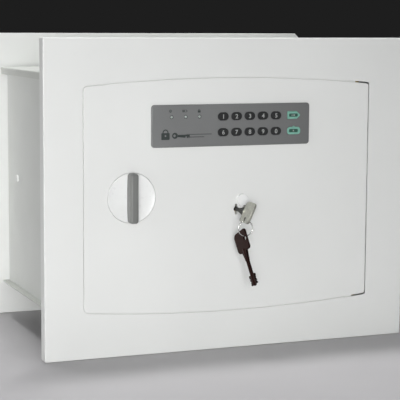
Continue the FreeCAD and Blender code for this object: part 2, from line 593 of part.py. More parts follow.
def key_blank():
    """Key along +Y with its bow at Y = 0, upright, its axis on the origin; ring hole below."""
    w = BOW_W / 2
    bow = box(-BOW_T / 2, BOW_T / 2, 0, BOW_L, -w, w)
    bow = bow.makeFillet(5.5, edges_along(bow, "x", lambda c: c.z > 0))
    bow = bow.makeFillet(3.2, edges_along(bow, "x", lambda c: c.z < 0))
    bow = bow.makeFillet(0.5, edges_in(bow, "x", -BOW_T / 2) + edges_in(bow, "x", BOW_T / 2))
    bow = bow.cut(rod("x", BOW_L / 2 - 1, -HOLE_W, HOLE_R, -5, 5))
    taper = [V(-1.4, BOW_L - 1.5, 4.9), V(-1.4, BOW_L + 12, SHANK_R), V(-1.4, BOW_L + 12, -SHANK_R),
             V(-1.4, BOW_L - 1.5, -4.9)]
    neck = Part.Face(Part.makePolygon(taper + taper[:1])).extrude(V(2.8, 0, 0))
    shank = rod("y", 0, 0, SHANK_R, BOW_L - 3, KEY_LEN - 1)
    shank = shank.fuse(Part.makeCone(SHANK_R, 1.4, 1.0, V(0, KEY_LEN - 1, 0), V(0, 1, 0)))
    bit = box(-1.1, 1.1, KEY_LEN - 13.1, KEY_LEN - 1.3, -5.8, 5.8)
    steps = (0.0, 1.1, 0.4, 1.4, 0.7, 0.2)
    for i, d in enumerate(steps):
        y = KEY_LEN - 12.1 + 1.8 * i
        for s in (-1, 1):
            depth = d if s > 0 else steps[-1 - i]
            z = sorted((s * 5.8 - s * depth, s * 9.0))
            bit = bit.cut(box(-2, 2, y, y + 1.8, z[0], z[1]))
    return join([bow, neck, shank, bit])


def lock_key():
    key = key_blank()
    key.translate(V(LOCK_X, -KEY_OUT, LOCK_Z))
    return turned(key, TURNED)


def ring_centre():
    """The ring hangs from the lower edge of the hole in the turned bow."""
    a = math.radians(TURNED)
    return V(LOCK_X - HOLE_W * math.sin(a), BOW_L / 2 - 1 - KEY_OUT,
             LOCK_Z - HOLE_W * math.cos(a) - 1.2 - RING_R)


def key_ring():
    return Part.makeTorus(RING_R, WIRE_R, ring_centre(), V(0, 1, 0))


def spare_key():
    """The same key hanging from its hole, so that its centre of mass is below the ring."""
    key = key_blank()
    c = key.CenterOfMass
    lever = V(0, c.y - (BOW_L / 2 - 1), c.z + HOLE_W)
    key.translate(V(0, -(BOW_L / 2 - 1), HOLE_W))
    lean = math.degrees(math.atan2(lever.z, lever.y))
    key.rotate(V(0, 0, 0), V(1, 0, 0), -90.0 - lean)
    key.rotate(V(0, 0, 0), V(0, 0, 1), SPARE_TURN)
    low = ring_centre() - V(0, 0, RING_R + HOLE_R - WIRE_R - 0.15)
    key.translate(low)
    return key


def keyhole_flap():
    """Swivelling cover, swung up beside the keyhole."""
    body = rod("y", FLAP_X, FLAP_Z, 4.6, -2.4, -0.4)
    tip = rod("y", FLAP_X - 1.9, FLAP_Z + 9.0, 6.8, -2.4, -0.4)
    a = V(FLAP_X - 4.6, -2.4, FLAP_Z + 0.5)
    b = V(FLAP_X + 4.5, -2.4, FLAP_Z)
    c = V(FLAP_X + 4.9, -2.4, FLAP_Z + 9.0)
    d = V(FLAP_X - 8.6, -2.4, FLAP_Z + 8.4)
    web = Part.Face(Part.makePolygon([a, b, c, d, a])).extrude(V(0, 2.0, 0))
    flap = join([body, tip, web])
    flap = flap.makeFillet(0.6, edges_in(flap, "y", -2.4))
    return flap.cut(rod("y", FLAP_X, FLAP_Z, 1.65, -5, 5))


def flap_rivet():
    head = rod("y", FLAP_X, FLAP_Z, 2.6, -3.4, -2.5)
    head = head.makeFillet(0.5, edges_in(head, "y", -3.4))
    return head.fuse(rod("y", FLAP_X, FLAP_Z, 1.6, -2.5, DOOR_T)).removeSplitter()


# ---- write every sub-part ------------------------------------------------------------------------------
def main():
    os.makedirs("parts", exist_ok=True)
    dish = knob_dish()
    frame, coil = solenoid()
    nodes = {
        "body_wrap": body_wrap(), "body_top_pan": body_pan(True),
        "body_bottom_pan": body_pan(False), "rear_plate": rear_plate(),
        "front_plate": front_plate(), "strike_bar": strike_bar(), "door_stops": door_stops(),
        "hinge_brackets": hinge_brackets(), "floor_mat": floor_mat(), "side_plugs": side_plugs(),
        "door_plate": door_plate(), "hinge_lugs": hinge_lugs(), "hinge_pins": hinge_pins(),
        "hinge_washers": hinge_washers(), "dog_bar": dog_bar(), "bolt_guide": bolt_guide(),
        "knob_bearing": knob_bearing(), "door_cover": door_cover(),
        "door_posts": door_posts(), "cover_screws": cover_screws(),
        "battery_lid": battery_lid(), "battery_box": battery_box(), "batteries": batteries(),
        "control_board": control_board(), "board_parts": board_parts(),
        "ribbon_cable": ribbon_cable(),
        "keypad_housing": keypad_housing(), "keypad_mat": keypad_mat(),
        "keypad_board": keypad_board(), "led_lenses": led_lenses(),
        "knob_dish": dish, "knob_grip": knob_grip(dish), "knob_spindle": knob_spindle(),
        "cam_disc": cam_disc(),
        "bolt_carriage": bolt_carriage(),
        "locking_bolts": locking_bolts(), "bolt_clips": bolt_clips(),
        "solenoid_frame": frame, "solenoid_coil": coil,
        "solenoid_plunger": plunger(), "lock_case": lock_case(), "lock_plug": lock_plug(),
        "lock_tail": lock_tail(), "lock_key": lock_key(), "key_ring": key_ring(),
        "spare_key": spare_key(), "keyhole_flap": keyhole_flap(), "flap_rivet": flap_rivet(),
    }
    for i, (x, z) in enumerate(key_centres()):
        nodes["digit_key_%d" % ((i + 1) % 10)] = digit_key(x, z)
    nodes["enter_key"] = function_key(arrow)
    nodes["clear_key"] = function_key(dome)
    for name, shape in nodes.items():
        print(name, len(shape.Solids), shape.isValid(), round(shape.Volume, 1))
        save(name, shape)


main()
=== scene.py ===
"""Wall safe with keypad, turning knob and key lock.

Materials, printed marks, the felt mat, floor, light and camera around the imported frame.
"""
import math

import bmesh
import bpy
from mathutils import Matrix, Vector


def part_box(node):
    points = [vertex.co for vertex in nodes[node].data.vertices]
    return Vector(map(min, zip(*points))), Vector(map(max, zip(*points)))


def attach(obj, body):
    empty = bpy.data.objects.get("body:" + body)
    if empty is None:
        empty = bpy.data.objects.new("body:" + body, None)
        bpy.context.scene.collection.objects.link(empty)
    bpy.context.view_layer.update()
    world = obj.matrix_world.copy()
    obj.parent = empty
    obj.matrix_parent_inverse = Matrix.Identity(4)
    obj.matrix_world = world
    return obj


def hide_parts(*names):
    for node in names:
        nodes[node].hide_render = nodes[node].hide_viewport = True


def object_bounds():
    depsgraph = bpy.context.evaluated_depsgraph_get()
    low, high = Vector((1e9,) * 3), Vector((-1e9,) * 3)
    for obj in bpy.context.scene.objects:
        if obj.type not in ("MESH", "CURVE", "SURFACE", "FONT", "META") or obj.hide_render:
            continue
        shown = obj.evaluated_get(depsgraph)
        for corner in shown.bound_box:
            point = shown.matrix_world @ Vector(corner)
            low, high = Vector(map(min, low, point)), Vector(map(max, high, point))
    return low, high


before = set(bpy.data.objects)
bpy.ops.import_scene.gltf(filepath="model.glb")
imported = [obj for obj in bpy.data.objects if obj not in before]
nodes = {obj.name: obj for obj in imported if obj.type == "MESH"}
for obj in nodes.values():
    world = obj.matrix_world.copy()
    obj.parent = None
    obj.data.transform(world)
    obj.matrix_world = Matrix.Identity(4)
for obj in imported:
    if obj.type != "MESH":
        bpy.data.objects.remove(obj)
cad_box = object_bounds()
bpy.context.view_layer.update()

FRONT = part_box("front_plate")[0].y          # the outer face of the front plate


def place(x, y, z):
    """A point given in millimetres, with y counted backwards from the front plate's face."""
    return Vector((x / 1000, FRONT + y / 1000, z / 1000))


# ---- material building -----------------------------------------------------------------------------
class Graph:
    """A small helper to wire shader nodes."""

    def __init__(self, name):
        self.mat = bpy.data.materials.new(name)
        self.mat.use_nodes = True
        self.tree = self.mat.node_tree
        self.shader = self.tree.nodes["Principled BSDF"]
        self.coords = self.add("ShaderNodeTexCoord").outputs["Object"]

    def add(self, kind, **settings):
        node = self.tree.nodes.new(kind)
        for key, value in settings.items():
            setattr(node, key, value)
        return node

    def link(self, a, b):
        self.tree.links.new(a, b)

    def stretched(self, scale):
        m = self.add("ShaderNodeMapping")
        m.inputs["Scale"].default_value = scale
        self.link(self.coords, m.inputs["Vector"])
        return m.outputs["Vector"]

    def noise(self, scale, detail=2.0, rough=0.5, vector=None):
        n = self.add("ShaderNodeTexNoise")
        n.inputs["Scale"].default_value = scale
        n.inputs["Detail"].default_value = detail
        n.inputs["Roughness"].default_value = rough
        self.link(vector or self.coords, n.inputs["Vector"])
        return n.outputs["Fac"]

    def cells(self, scale, vector=None, feature="F1"):
        n = self.add("ShaderNodeTexVoronoi", feature=feature)
        n.inputs["Scale"].default_value = scale
        self.link(vector or self.coords, n.inputs["Vector"])
        return n.outputs["Distance"]

    def remap(self, value, lo, hi, to_lo, to_hi):
        n = self.add("ShaderNodeMapRange")
        for key, v in (("From Min", lo), ("From Max", hi), ("To Min", to_lo), ("To Max", to_hi)):
            n.inputs[key].default_value = v
        self.link(value, n.inputs["Value"])
        return n.outputs["Result"]

    def math(self, how, a, b):
        n = self.add("ShaderNodeMath", operation=how)
        for i, v in enumerate((a, b)):
            if isinstance(v, (int, float)):
                n.inputs[i].default_value = v
            else:
                self.link(v, n.inputs[i])
        return n.outputs[0]

    def mix(self, fac, a, b):
        n = self.add("ShaderNodeMix", data_type="RGBA")
        if isinstance(fac, (int, float)):
            n.inputs["Factor"].default_value = fac
        else:
            self.link(fac, n.inputs["Factor"])
        for key, v in (("A", a), ("B", b)):
            socket = [s for s in n.inputs if s.name == key and s.type == "RGBA"][0]
            if isinstance(v, tuple):
                socket.default_value = v + (1.0,)
            else:
                self.link(v, socket)
        return [s for s in n.outputs if s.type == "RGBA"][0]

    def color(self, value):
        self.link(value, self.shader.inputs["Base Color"])

    def rough(self, value):
        self.link(value, self.shader.inputs["Roughness"])

    def bump(self, height, distance, strength=1.0):
        b = self.add("ShaderNodeBump")
        b.inputs["Distance"].default_value = distance
        b.inputs["Strength"].default_value = strength
        self.link(height, b.inputs["Height"])
        if self.shader.inputs["Normal"].is_linked:
            self.link(self.shader.inputs["Normal"].links[0].from_socket, b.inputs["Normal"])
        self.link(b.outputs["Normal"], self.shader.inputs["Normal"])

    def set(self, **sockets):
        for key, value in sockets.items():
            self.shader.inputs[key.replace("_", " ")].default_value = value


def tint(c, k):
    """A colour k times as bright."""
    return tuple(min(1.0, v * k) for v in c)


def powder_coat(name, base, rough=0.4, peel=1.0):
    """Baked powder paint: faint orange peel, slow tone drift, small handling marks."""
    g = Graph(name)
    slow = g.noise(7.0, 3.0)
    dust = g.noise(60.0, 5.0, 0.65)
    tone = g.mix(g.remap(slow, 0.3, 0.7, 0, 1), tint(base, 0.975), tint(base, 1.01))
    grime = g.mix(g.remap(dust, 0.62, 0.8, 0, 0.35), tone, tint(base, 0.93))
    g.color(grime)
    g.rough(g.remap(g.noise(25.0, 4.0), 0.3, 0.7, rough - 0.05, rough + 0.08))
    g.bump(g.noise(650.0, 2.0, 0.5), 0.00005 * peel, 0.5)
    g.bump(g.noise(2600.0, 1.0), 0.000012 * peel, 0.5)
    g.set(Specular_IOR_Level=0.5)
    return g.mat


def brushed(name, base, axis, rough=0.34):
    """Rolled or brushed metal, with its grain along one axis."""
    g = Graph(name)
    scale = [2200.0, 2200.0, 2200.0]
    scale["xyz".index(axis)] = 40.0
    grain = g.noise(1.0, 3.0, 0.6, g.stretched(scale))
    blot = g.noise(45.0, 4.0, 0.6)
    g.color(g.mix(g.remap(blot, 0.3, 0.7, 0, 1), tint(base, 0.82), tint(base, 1.08)))
    g.rough(g.math("ADD", g.remap(grain, 0.3, 0.7, rough - 0.08, rough + 0.1),
                   g.remap(blot, 0.3, 0.7, -0.04, 0.06)))
    g.bump(grain, 0.00002, 0.6)
    g.set(Metallic=1.0)
    return g.mat


def plated(name, base, rough=0.3, cell=90.0):
    """Zinc or nickel plate: a soft mottled bloom and fine pits."""
    g = Graph(name)
    bloom = g.cells(cell, feature="SMOOTH_F1")
    haze = g.noise(18.0, 4.0, 0.6)
    tone = g.mix(g.remap(bloom, 0.1, 0.7, 0, 1), tint(base, 0.88), tint(base, 1.06))
    g.color(g.mix(g.remap(haze, 0.45, 0.75, 0, 0.6), tone, tint(base, 0.8)))
    g.rough(g.remap(haze, 0.3, 0.7, rough - 0.06, rough + 0.12))
    g.bump(g.noise(1500.0, 2.0), 0.00001, 0.5)
    g.set(Metallic=1.0)
    return g.mat


def moulded(name, base, rough=0.3, grain=1.0, gloss=0.5):
    """Moulded plastic: spark-eroded grain with a slight flow mark."""
    g = Graph(name)
    flow = g.noise(30.0, 3.0)
    g.color(g.mix(g.remap(flow, 0.3, 0.7, 0, 1), tint(base, 0.95), tint(base, 1.04)))
    g.rough(g.remap(g.noise(200.0, 4.0), 0.3, 0.7, rough - 0.04, rough + 0.06))
    g.bump(g.noise(2400.0, 3.0, 0.7), 0.000015 * grain, 0.6)
    g.set(Specular_IOR_Level=gloss)
    return g.mat


def film(name, base):
    """Satin printed film on the keypad: a fine metallic fleck, and painted shade darkening it towards the
    right end.
    """
    left, right, shade = -0.09, 0.1, 0.45
    g = Graph(name)
    fleck = g.cells(2600.0)
    drift = g.noise(12.0, 3.0)
    xyz = g.add("ShaderNodeSeparateXYZ")
    g.link(g.coords, xyz.inputs[0])
    tone = g.mix(g.remap(drift, 0.3, 0.7, 0, 1), tint(base, 0.93), tint(base, 1.07))
    # painted shade: the film darkens from its left end to its right, where the light falls off
    tone = g.mix(g.remap(xyz.outputs["X"], left, right, 0.0, shade), tone, tint(base, 0.5))
    g.color(g.mix(g.remap(fleck, 0.0, 0.35, 0.35, 0.0), tone, tint(base, 1.5)))
    g.rough(g.remap(g.noise(300.0, 3.0), 0.3, 0.7, 0.36, 0.5))
    g.bump(g.noise(1800.0, 2.0), 0.00001, 0.5)
    g.set(Metallic=0.15)
    return g.mat


def rubber(name, base, rough=0.55):
    """Moulded rubber, paler where it is worn."""
    g = Graph(name)
    worn = g.noise(220.0, 4.0, 0.6)
    g.color(g.mix(g.remap(worn, 0.5, 0.8, 0, 0.6), base, tint(base, 1.6)))
    g.rough(g.remap(worn, 0.3, 0.7, rough - 0.08, rough + 0.1))
    g.bump(g.noise(3000.0, 2.0), 0.00001, 0.6)
    return g.mat


def key_metal(name, base, shank, bow_end, fade):
    """Plated key whose shank and bit are darkened by a painted dark reflection, with rubbed edges on the
    bow.
    """
    g = Graph(name)
    xyz = g.add("ShaderNodeSeparateXYZ")
    g.link(g.coords, xyz.inputs[0])
    haze = g.noise(260.0, 4.0, 0.6)
    wear = g.noise(700.0, 3.0, 0.7)
    bow = g.mix(g.remap(haze, 0.35, 0.7, 0, 1), tint(base, 0.8), tint(base, 1.12))
    # painted dark reflection: behind bow_end the key turns to the dark shank colour, with a ragged border
    painted_reflection_reach = g.math("ADD", xyz.outputs["Y"], g.remap(haze, 0, 1, -fade, fade))
    g.color(g.mix(g.remap(painted_reflection_reach, bow_end - fade, bow_end + fade, 0, 1), bow, shank))
    g.rough(g.remap(wear, 0.3, 0.7, 0.3, 0.46))
    g.bump(wear, 0.00002, 0.5)
    g.set(Metallic=1.0)
    return g.mat


def circuit(name, base):
    """Solder resist with copper tracks under it."""
    g = Graph(name)
    tracks = g.add("ShaderNodeTexBrick")
    tracks.inputs["Scale"].default_value = 160.0
    tracks.inputs["Mortar Size"].default_value = 0.03
    m = g.add("ShaderNodeMapping")
    m.inputs["Rotation"].default_value = (math.pi / 2, 0, 0)
    g.link(g.coords, m.inputs["Vector"])
    g.link(m.outputs["Vector"], tracks.inputs["Vector"])
    lines = g.remap(tracks.outputs["Fac"], 0, 1, 0, 1)
    copper = tuple(v + paler for v, paler in zip(base, (0.06, 0.12, 0.05)))
    g.color(g.mix(lines, base, copper))
    g.rough(g.remap(g.noise(80.0, 3.0), 0.3, 0.7, 0.25, 0.4))
    g.bump(lines, 0.00003, 0.5)
    g.set(Coat_Weight=0.4)
    return g.mat


def sleeve(name, base, band):
    """Printed plastic sleeve on a cell, with a plain band at one end."""
    cell_half, band_from, soft_edge = 0.0255, 0.0195, 0.0003
    g = Graph(name)
    xyz = g.add("ShaderNodeSeparateXYZ")
    g.link(g.coords, xyz.inputs[0])
    stripe = g.math("PINGPONG", xyz.outputs["X"], cell_half)
    g.color(g.mix(g.remap(stripe, band_from, band_from + soft_edge, 0, 1), base, band))
    g.rough(g.remap(g.noise(120.0, 3.0), 0.3, 0.7, 0.25, 0.38))
    g.bump(g.noise(400.0, 2.0), 0.00003, 0.4)
    return g.mat


def wound(name, base):
    """Enamelled wire under clear tape."""
    g = Graph(name)
    wave = g.add("ShaderNodeTexWave", wave_type="BANDS", bands_direction="Z")
    wave.inputs["Scale"].default_value = 420.0
    g.link(g.coords, wave.inputs["Vector"])
    g.color(g.mix(wave.outputs["Fac"], tint(base, 0.5), base))
    g.rough(g.remap(g.noise(90.0), 0.3, 0.7, 0.3, 0.45))
    g.bump(wave.outputs["Fac"], 0.0001, 0.8)
    g.set(Metallic=0.7)
    return g.mat


WAVE_PERIOD = 0.314      # of a wave texture whose scale is 1


def ribbed(name, base, axis, pitch):
    """Flat cable: a row of cores side by side."""
    g = Graph(name)
    wave = g.add("ShaderNodeTexWave", wave_type="BANDS", bands_direction=axis)
    wave.inputs["Scale"].default_value = WAVE_PERIOD / pitch
    g.link(g.coords, wave.inputs["Vector"])
    g.color(g.mix(wave.outputs["Fac"], tint(base, 0.55), base))
    g.rough(g.remap(g.noise(90.0), 0.3, 0.7, 0.4, 0.55))
    g.bump(wave.outputs["Fac"], 0.0002, 0.8)
    return g.mat


def felt(name, base):
    """Needle felt: matted short fibres with a soft sheen."""
    g = Graph(name)
    fibre = g.noise(900.0, 6.0, 0.75, g.stretched((1.0, 0.45, 1.0)))
    cross = g.noise(900.0, 6.0, 0.75, g.stretched((0.45, 1.0, 1.0)))
    hair = g.math("MAXIMUM", fibre, cross)
    g.color(g.mix(g.remap(hair, 0.45, 0.8, 0, 1), tint(base, 0.6), tint(base, 1.7)))
    g.rough(g.remap(hair, 0.4, 0.8, 0.85, 0.98))
    g.bump(hair, 0.0005, 0.9)
    g.set(Sheen_Weight=0.5, Sheen_Roughness=0.5)
    return g.mat


def lens(name, base):
    """Clear lens of a lamp."""
    g = Graph(name)
    g.color(g.mix(g.remap(g.noise(500.0), 0.3, 0.7, 0, 1), tint(base, 0.9), base))
    g.rough(g.remap(g.noise(300.0), 0.3, 0.7, 0.08, 0.16))
    g.set(Transmission_Weight=0.35, IOR=1.49)
    return g.mat


def ink(name, base, rough=0.45):
    """Screen-printed ink: slightly uneven."""
    g = Graph(name)
    patchy = g.noise(1500.0, 3.0, 0.6)
    g.color(g.mix(g.remap(patchy, 0.35, 0.75, 0, 1), base, tint(base, 0.86)))
    g.rough(g.remap(patchy, 0.3, 0.7, rough - 0.05, rough + 0.08))
    g.bump(patchy, 0.00001, 0.5)
    return g.mat


WHITE = (0.79, 0.80, 0.785)
BOW_LENGTH = 0.0235          # how far back from its front end the key in the lock stays bright, before the painted dark reflection on its shank
MATERIALS = {
    "body": powder_coat("body_powder_coat", (0.685, 0.70, 0.675)),
    # pans: a darker grey than the body, which is painted shade, as the top of the safe stands in shade
    "pans": powder_coat("pan_powder_coat_painted_shade", (0.60, 0.615, 0.58)),
    "plate": powder_coat("plate_powder_coat", WHITE),
    "door": powder_coat("door_powder_coat", tint(WHITE, 1.01), 0.38),
    "cover": powder_coat("cover_powder_coat", (0.36, 0.37, 0.365), 0.5, 1.6),
    "knob": moulded("knob_white_moulding", (0.90, 0.91, 0.90), 0.3, 0.4, 0.5),
    "grip": moulded("grip_grey_moulding", (0.185, 0.19, 0.183), 0.34, 2.2),
    # plug: whiter than the plates, partly its white plastic and partly painted light, as it stands in shade
    "plug": moulded("plug_white_moulding_painted_light", (0.94, 0.95, 0.93), 0.25),
    "flap": moulded("flap_white_moulding", (0.88, 0.89, 0.88), 0.12, 0.3, 0.8),
    "black": moulded("black_moulding", (0.02, 0.02, 0.021), 0.42, 1.5),
    "panel": film("panel_grey_film", (0.205, 0.21, 0.21)),
    "key": rubber("key_black_rubber", (0.012, 0.013, 0.014), 0.45),
    "key_green": rubber("key_green_rubber", (0.19, 0.42, 0.34), 0.5),
    "mat": rubber("dome_mat_rubber", (0.1, 0.1, 0.105), 0.6),
    "zinc": plated("zinc_plate", (0.52, 0.53, 0.52), 0.36),
    "zinc_x": brushed("zinc_brushed_x", (0.5, 0.51, 0.51), "x"),
    "zinc_z": brushed("zinc_brushed_z", (0.5, 0.51, 0.51), "z"),
    "nickel": brushed("nickel_turned_x", (0.66, 0.65, 0.62), "x", 0.22),
    "nickel_z": brushed("nickel_turned_z", (0.66, 0.65, 0.62), "z", 0.22),
    "brass": plated("turned_brass", (0.62, 0.47, 0.2), 0.28, 200.0),
    "bow": key_metal("key_nickel_plate", (0.46, 0.46, 0.41), (0.035, 0.034, 0.03),
                     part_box("lock_key")[0].y + BOW_LENGTH, 0.0012),
    # spare key: near-black brown, painted shade and dark reflection over the key's own copper tint
    "painted_shade_key": plated("key_bronze_painted_shade", (0.036, 0.017, 0.015), 0.42, 260.0),
    "ring": plated("ring_wire", (0.66, 0.66, 0.64), 0.22, 300.0),
    "pcb": circuit("printed_board", (0.012, 0.07, 0.03)),
    "chips": moulded("component_black", (0.018, 0.018, 0.02), 0.4),
    "cells": sleeve("battery_sleeve", (0.03, 0.032, 0.035), (0.35, 0.2, 0.08)),
    "coil": wound("coil_wire", (0.45, 0.2, 0.08)),
    "ribbon": ribbed("ribbon_cores", (0.24, 0.24, 0.26), "X", 0.00127),
    "felt": felt("grey_felt", (0.05, 0.05, 0.054)),
    "lens": lens("led_lens", (0.62, 0.68, 0.64)),
    "ink_light": ink("ink_light", (0.42, 0.43, 0.42)),
    "ink_dark": ink("ink_dark", (0.03, 0.04, 0.038)),
    "ink_mid": ink("ink_mid", (0.09, 0.095, 0.095)),
    "ink_green": ink("ink_green", (0.02, 0.085, 0.06)),
}
FINISH = {
    "body": ["body_wrap", "strike_bar", "door_stops", "hinge_brackets"],
    "pans": ["body_top_pan", "body_bottom_pan"],
    "plate": ["rear_plate", "front_plate"],
    "door": ["door_plate", "hinge_lugs", "dog_bar"],
    "cover": ["door_cover"],
    "zinc": ["knob_bearing", "door_posts", "cover_screws", "cam_disc", "bolt_clips", "solenoid_frame",
             "lock_case", "lock_tail"],
    "zinc_x": ["knob_spindle"],
    "zinc_z": ["hinge_pins", "bolt_guide", "bolt_carriage"],
    "brass": ["hinge_washers", "lock_plug"],
    "nickel": ["locking_bolts"], "nickel_z": ["solenoid_plunger", "flap_rivet"],
    "black": ["battery_lid", "battery_box"], "cells": ["batteries"],
    "pcb": ["control_board", "keypad_board"], "chips": ["board_parts"], "ribbon": ["ribbon_cable"],
    "panel": ["keypad_housing"], "mat": ["keypad_mat"], "lens": ["led_lenses"],
    "plug": ["side_plugs"], "knob": ["knob_dish"], "grip": ["knob_grip"], "coil": ["solenoid_coil"],
    "bow": ["lock_key"], "painted_shade_key": ["spare_key"], "ring": ["key_ring"], "flap": ["keyhole_flap"],
    "key": ["digit_key_%d" % i for i in range(10)], "key_green": ["enter_key", "clear_key"],
    "felt": ["floor_mat"],
}
for finish, names in FINISH.items():
    for n in names:
        nodes[n].data.materials.clear()
        nodes[n].data.materials.append(MATERIALS[finish])


# ---- pieces added to the frame ---------------------------------------------------------------------
def new_piece(name, mesh_or_bm, finish, body, smooth=True):
    """A visible piece with its material, riding on a body of the frame."""
    if isinstance(mesh_or_bm, bmesh.types.BMesh):
        mesh = bpy.data.meshes.new(name)
        mesh_or_bm.to_mesh(mesh)
        mesh_or_bm.free()
    else:
        mesh = mesh_or_bm
    mesh.materials.clear()
    mesh.materials.append(MATERIALS[finish])
    for p in mesh.polygons:
        p.use_smooth = smooth
    ob = bpy.data.objects.new(name, mesh)
    bpy.context.scene.collection.objects.link(ob)
    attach(ob, body)
    return ob


def round_rect(x, z, w, h, r, steps=5):
    """Points of a rounded rectangle about (x, z), anticlockwise seen from the front."""
    pts = []
    corners = ((w - r, h - r, 0), (r - w, h - r, 90), (r - w, r - h, 180), (w - r, r - h, 270))
    for cx, cz, start in corners:
        for i in range(steps + 1):
            a = math.radians(start + 90.0 * i / steps)
            pts.append((x + cx + r * math.cos(a), z + cz + r * math.sin(a)))
    return pts


PRINT = 0.00006          # how proud printed ink stands
SINK = 0.0001            # how far it reaches into the face under it
DIGIT_SIZE, STROKE = 0.0068, 0.00012      # height of the type, and how much its strokes are thickened


def curve_mesh(curve):
    """The mesh of a curve or of type, stood up to face the front."""
    holder = bpy.data.objects.new("holder", curve)
    bpy.context.scene.collection.objects.link(holder)
    bpy.context.view_layer.update()
    mesh = bpy.data.meshes.new_from_object(holder.evaluated_get(bpy.context.evaluated_depsgraph_get()))
    bpy.data.objects.remove(holder)
    mesh.transform(Matrix.Rotation(math.pi / 2, 4, "X"))
    return mesh


def digit(text, node):
    """A printed digit in the middle of a key's face."""
    lo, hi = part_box(node)
    curve = bpy.data.curves.new("digit_" + text, "FONT")
    curve.body = text
    curve.size = DIGIT_SIZE
    curve.align_x, curve.align_y = "CENTER", "CENTER"
    curve.extrude = (PRINT + SINK) / 2
    curve.offset = STROKE
    curve.resolution_u = 4
    mesh = curve_mesh(curve)
    xs = [v.co.x for v in mesh.vertices]
    zs = [v.co.z for v in mesh.vertices]
    mid = Vector(((min(xs) + max(xs)) / 2, 0, (min(zs) + max(zs)) / 2))
    mesh.transform(Matrix.Translation(-mid))
    mesh.transform(Matrix.Translation(((lo.x + hi.x) / 2, lo.y - (PRINT - SINK) / 2, (lo.z + hi.z) / 2)))
    mesh.name = "digit_mark_" + text
    new_piece("digit_mark_" + text, mesh, "ink_light", "digit_key_" + text, smooth=False)


for i in range(10):
    digit(str(i), "digit_key_%d" % i)


# ---- printed marks on the panel ---------------------------------------------------------------------
def flat_mark(name, loops, y_face, finish, body, at=(0.0, 0.0)):
    """Ink in closed outlines, in millimetres about a point; an outline inside another is a hole."""
    curve = bpy.data.curves.new(name, "CURVE")
    curve.dimensions = "2D"
    curve.fill_mode = "BOTH"
    curve.extrude = (PRINT + SINK) / 2
    for loop in loops:
        spline = curve.splines.new("POLY")
        spline.points.add(len(loop) - 1)
        for point, (x, z) in zip(spline.points, loop):
            point.co = (x / 1000, z / 1000, 0, 1)
        spline.use_cyclic_u = True
    mesh = curve_mesh(curve)
    mesh.transform(Matrix.Translation((at[0], y_face - (PRINT - SINK) / 2, at[1])))
    mesh.name = name
    new_piece(name, mesh, finish, body, smooth=False)


def circle(x, z, r, n=28):
    """Points of a circle about (x, z)."""
    return [(x + r * math.cos(2 * math.pi * i / n), z + r * math.sin(2 * math.pi * i / n)) for i in range(n)]


def shackle(x, z, r, t, leg):
    """The bow of a padlock as one outline: a half ring on two legs."""
    up = [(x + r * math.cos(math.radians(a)), z + r * math.sin(math.radians(a))) for a in range(0, 181, 15)]
    back = [(x + (r - t) * math.cos(math.radians(a)), z + (r - t) * math.sin(math.radians(a)))
            for a in range(180, -1, -15)]
    return [(x + r, z - leg)] + up + [(x - r, z - leg), (x - r + t, z - leg)] + back + [(x + r - t, z - leg)]


def cross(reach, arm):
    """A diagonal cross of four equal arms as one outline."""
    pts = [(-reach, reach - arm), (arm - reach, reach), (0, arm)]
    for _ in range(3):
        pts += [(z, -x) for x, z in pts[-3:]]
    return pts


def moved(loops, dx, dz):
    """The outlines, moved by dx and dz."""
    return [[(x + dx, z + dz) for x, z in loop] for loop in loops]


panel_lo, panel_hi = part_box("keypad_housing")
face = panel_lo.y
panel_middle = (panel_lo.z + panel_hi.z) / 2
lens_lo, lens_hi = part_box("led_lenses")
lens_z = (lens_lo.z + lens_hi.z) / 2
lens_r = (lens_hi.z - lens_lo.z) / 2
LENS_STEP = 0.0172                        # from the first lamp to the second
SHADE_RING_OUT, SHADE_RING_IN = 2.15, 1.58          # radii of the dark ring round each lamp, painted shade beside the raised lens
lens_x = (lens_lo.x + lens_r, lens_lo.x + lens_r + LENS_STEP, lens_hi.x - lens_r)
# painted shade: a dark ink ring round each lamp stands for the shade beside its raised lens
shade_rings = []
for x in lens_x:
    shade_rings += moved([circle(0, 0, SHADE_RING_OUT), circle(0, 0, SHADE_RING_IN)], x * 1000, 0)
flat_mark("led_shade_rings", shade_rings, face, "ink_dark", "door", (0, lens_z))

# small pictograms over the lamps: a dot in a ring, a battery and a padlock
MARK_UP = 6.7                             # above the lamps' middle
MARK_LEFT, LOCK_LEFT = 1.5, 0.5           # left of each lamp's middle; the padlock is nearer
ready = [circle(0, 0, 1.7), circle(0, 0, 1.15), circle(0, 0, 0.6)]
battery = [round_rect(0, 0, 2.7, 1.35, 0.3), round_rect(0, 0, 2.3, 0.95, 0.2),
           round_rect(-0.9, 0, 1.1, 0.6, 0.1), round_rect(3.05, 0, 0.3, 0.6, 0.1)]
locked = [round_rect(0, -0.8, 1.7, 1.25, 0.3), shackle(0, 0.7, 1.2, 0.45, 0.3)]
lamp_marks = []
for mark, x, left in zip((ready, battery, locked), lens_x, (MARK_LEFT, MARK_LEFT, LOCK_LEFT)):
    lamp_marks += moved(mark, x * 1000 - left, 0)
flat_mark("lamp_marks", lamp_marks, face, "ink_dark", "door", (0, lens_z + MARK_UP / 1000))

